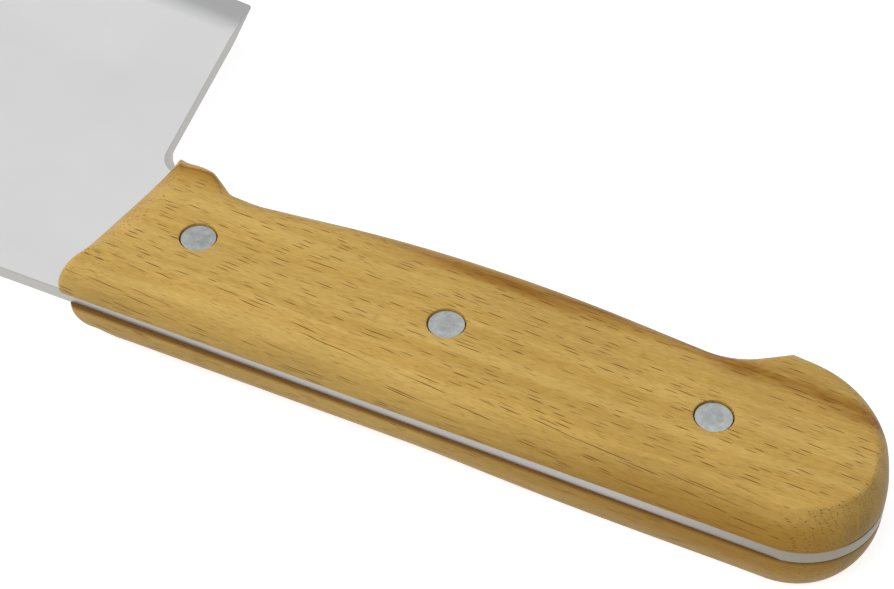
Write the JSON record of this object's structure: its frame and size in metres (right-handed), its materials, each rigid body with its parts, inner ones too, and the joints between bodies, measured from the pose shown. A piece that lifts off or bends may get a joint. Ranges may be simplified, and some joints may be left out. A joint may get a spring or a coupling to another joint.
{
  "type": "chinese cleaver",
  "caption": "Broad rectangular kitchen cleaver with a slightly curved cutting edge and a full tang between riveted wooden scales.",
  "frame": {"origin": "bottom centre of the whole knife's box, with the knife lying on its side on the lower scale's flat face", "axes": "+X runs along the knife from the toe of the blade to the butt of the handle, +Y from the spine to the cutting edge, +Z square to the blade"},
  "size_m": [0.33, 0.08, 0.018],
  "materials": {
    "blade_steel": "satin stainless steel, darker along the ground bevels",
    "beech": "oiled beech with short dark pores along the handle",
    "rivet_aluminium": "dull pressed aluminium with a small dimple in each head"
  },
  "bodies": {
    "root": {"blade": "blade_steel", "upper_scale": "beech", "lower_scale": "beech", "front_rivet_post": "rivet_aluminium", "middle_rivet_post": "rivet_aluminium", "rear_rivet_post": "rivet_aluminium", "front_rivet_sleeve": "rivet_aluminium", "middle_rivet_sleeve": "rivet_aluminium", "rear_rivet_sleeve": "rivet_aluminium"}
  },
  "joints": []
}
